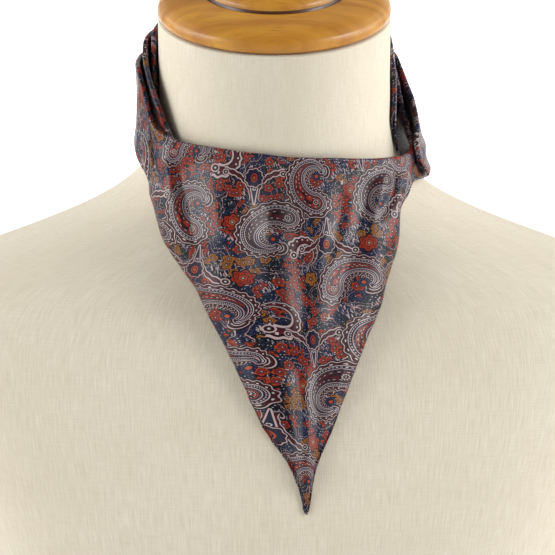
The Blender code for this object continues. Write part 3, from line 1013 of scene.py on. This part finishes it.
def build_front_blade(material):
    """The front end, from its rolled rim to the hem turned under along both edges."""
    first, last = BLADE_FALLS[0][0], BLADE_FALLS[-1][0]
    rim = np.linspace(first, last, BLADE_COLUMNS)
    rim_height, foot_height, turn_in = (read(BLADE_FALLS, c, rim) for c in (1, 4, 6))
    fall = rim_height - foot_height
    fold = FOLD_RADIUS / fall
    wing = np.clip(past(rim, TO_WING), 0, 1)
    hem = (HEM_END + np.minimum(HEM_RISE, HEM_SHARE * fall) * (1 - wing)) / fall
    turned = np.linspace(1, 0, TURN_IN_ROWS)
    bends = np.radians(np.linspace(0, 180, BLADE_FOLD_ROWS)[1:-1])
    shares = [turn_in / fall * s + fold * (1 - s) for s in turned]
    inside = [2.0 + 0.4 * s for s in turned]
    for bend in bends:
        shares.append(fold * (1 - math.sin(bend)))
        inside.append(1 + math.cos(bend))
    rim_row = len(shares) - 1
    for step in np.linspace(0, 1, BLADE_ROWS):
        shares.append(fold + (1 - 2 * fold) * step)
        inside.append(0.0)
    for bend in bends:
        shares.append(1 - fold * (1 - math.sin(bend)))
        inside.append(1 - math.cos(bend))
    for step in np.linspace(0, 1, HEM_ROWS):
        shares.append(1 - fold - hem * step)
        inside.append(2.0 + 0.2 * step)
    share = np.array([s + 0 * rim for s in shares])
    inside = np.array(inside)[:, None]
    angle, height, gap, x, side = blade_point(rim[None], share)
    rim_points = over_form(rim, rim_height, read(BLADE_FALLS, 2, rim))
    across = run_length(rim_points[None], 1)[0]
    across = across - np.interp(0.0, rim, across)
    down = share * fall[None]
    gap = gap + crease_depth(across[None], down, BLADE_CREASES) * edge_hold(share, 2.2)
    in_front = 1 - smooth_step(past(rim, OFF_FRONT))
    near_edge = np.clip(1 - (1 - share) * fall[None] / EDGE_REACH, 0, 1)
    gap = gap - EDGE_DROP * in_front * near_edge ** 2
    gap = np.maximum(SEAT + CLOTH_WALL / 2, gap - inside * FOLD_RADIUS)
    hung = angle_at_x(x, height, gap)
    angle = hung + (angle - hung) * side
    points = over_form(angle, height, gap)
    along = run_length(points, 0)
    u, v = slanted(across[None] + 0 * along, along - along[rim_row], PRINT_SLANT)
    return grid_piece("front_blade_silk", points, u, v, material, wall=CLOTH_WALL)


def build_knot(material):
    """The plain crossing under the front blade."""
    share = np.linspace(0, 1, 24)[:, None]
    height = KNOT_FOOT + (KNOT_TOP - KNOT_FOOT) * share
    clearance = SEAT + CLOTH_WALL * 1.5 + KNOT_LIFT + KNOT_BULGE * np.sin(math.pi * share)
    x = np.linspace(-KNOT_HALF_WIDTH, KNOT_HALF_WIDTH, 60)[None]
    angle = angle_at_x(x, height, clearance)
    points = over_form(angle, height + 0 * x, clearance + 0 * x)
    u, v = slanted(x + 0 * height, -height + 0 * x, KNOT_SLANT)
    return grid_piece("knot_silk", points, u, v, material, wall=CLOTH_WALL)


def build_under_blade(material):
    """The second end, flat on the chest behind the front blade."""
    height = np.linspace(UNDER_WIDTHS[0][0], UNDER_WIDTHS[-1][0], 90)[:, None]
    middle, half_width = read(UNDER_WIDTHS, 1, height), read(UNDER_WIDTHS, 2, height)
    x = middle + half_width * np.linspace(-1, 1, 40)[None]
    clearance = SEAT + CLOTH_WALL / 2
    points = over_form(angle_at_x(x, height, clearance), height + 0 * x, clearance)
    u, v = slanted(x, -height + 0 * x, PRINT_SLANT)
    return grid_piece("under_blade_silk", points, u + 20, v, material, wall=CLOTH_WALL)


# Stage

def build_stage():
    """A pale floor that sweeps up behind the part."""
    material, _, shader = new_material("stage_white")
    shader.inputs["Base Color"].default_value = (0.9, 0.9, 0.9, 1)
    shader.inputs["Roughness"].default_value = 0.8
    profile = [(STAGE_FRONT, 0.0), (STAGE_BACK, 0.0)]
    for turn in np.linspace(0, math.pi / 2, 16)[1:]:
        profile.append((STAGE_BACK + SWEEP_RADIUS * math.sin(turn),
                        SWEEP_RADIUS - SWEEP_RADIUS * math.cos(turn)))
    profile.append((STAGE_BACK + SWEEP_RADIUS, WALL_TOP))
    vertices = [(x, y, z) for x in (-STAGE_HALF_WIDTH, STAGE_HALF_WIDTH) for y, z in profile]
    count = len(profile)
    faces = [(i, i + 1, count + i + 1, count + i) for i in range(count - 1)]
    mesh = bpy.data.meshes.new("stage_sweep")
    mesh.from_pydata(vertices, [], faces)
    mesh.polygons.foreach_set("use_smooth", [True] * len(faces))
    mesh.materials.append(material)
    sweep = bpy.data.objects.new("stage_sweep", mesh)
    bpy.context.scene.collection.objects.link(sweep)


def add_light(name, place, aim, size, power, spread, reflected):
    """A soft square light that faces a point."""
    light = bpy.data.lights.new(name, "AREA")
    light.size = size
    light.energy = power
    light.spread = math.radians(spread)
    lamp = bpy.data.objects.new(name, light)
    bpy.context.scene.collection.objects.link(lamp)
    lamp.location = place
    lamp.rotation_euler = (Vector(aim) - Vector(place)).to_track_quat("-Z", "Y").to_euler()
    lamp.visible_glossy = reflected


def light_scene():
    """A studio with bright walls at both sides, a dim front and a lit floor behind."""
    world = bpy.data.worlds.new("studio")
    bpy.context.scene.world = world
    world.use_nodes = True
    tree = world.node_tree
    towards = tree.nodes.new("ShaderNodeTexCoord").outputs["Generated"]
    x, y = split(tree, towards)
    strength = x * x * x * x * WORLD_SIDES + y.floor_at(0.0) * WORLD_BACK + WORLD_FRONT
    background = tree.nodes["Background"]
    background.inputs["Color"].default_value = WORLD_COLOUR
    connect(tree, background.inputs["Strength"], strength)
    for row in LAMPS:
        add_light(*row)


def place_camera():
    """The photograph's view: a little above the throat, straight on."""
    aim = Vector(CAMERA_AIM) * MM
    away = Vector((0, -math.cos(CAMERA_RISE), math.sin(CAMERA_RISE)))
    data = bpy.data.cameras.new("camera")
    data.sensor_width = SENSOR
    data.lens = SENSOR * CAMERA_DISTANCE / FRAME_SPAN
    camera = bpy.data.objects.new("camera", data)
    bpy.context.scene.collection.objects.link(camera)
    camera.location = aim + away * CAMERA_DISTANCE * MM
    camera.rotation_euler = (-away).to_track_quat("-Z", "Y").to_euler()
    bpy.context.scene.camera = camera


def finish_piece(piece, node):
    """Ties a piece to the part's one body and hides the node that it stands for."""
    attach(piece, "root")
    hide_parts(node)


place_camera()
silk = make_silk()
linen = make_linen()
wood = make_cap_wood()

form = build_form(linen)
finish_piece(form, "form_body")
finish_piece(build_cap(wood), "form_cap")
cloth = {
    "band_inner": build_band("band_inner", silk, math.radians(60), (11, 30)),
    "band_middle": build_band("band_middle", silk, math.radians(64), (35, 4)),
    "band_outer": build_band("band_outer", silk, math.radians(52), (2, 51)),
    "knot": build_knot(silk),
    "under_blade": build_under_blade(silk),
    "front_blade": build_front_blade(silk),
}
for node, piece in cloth.items():
    finish_piece(piece, node)

build_stage()
light_scene()
bpy.context.scene.view_settings.view_transform = "Standard"
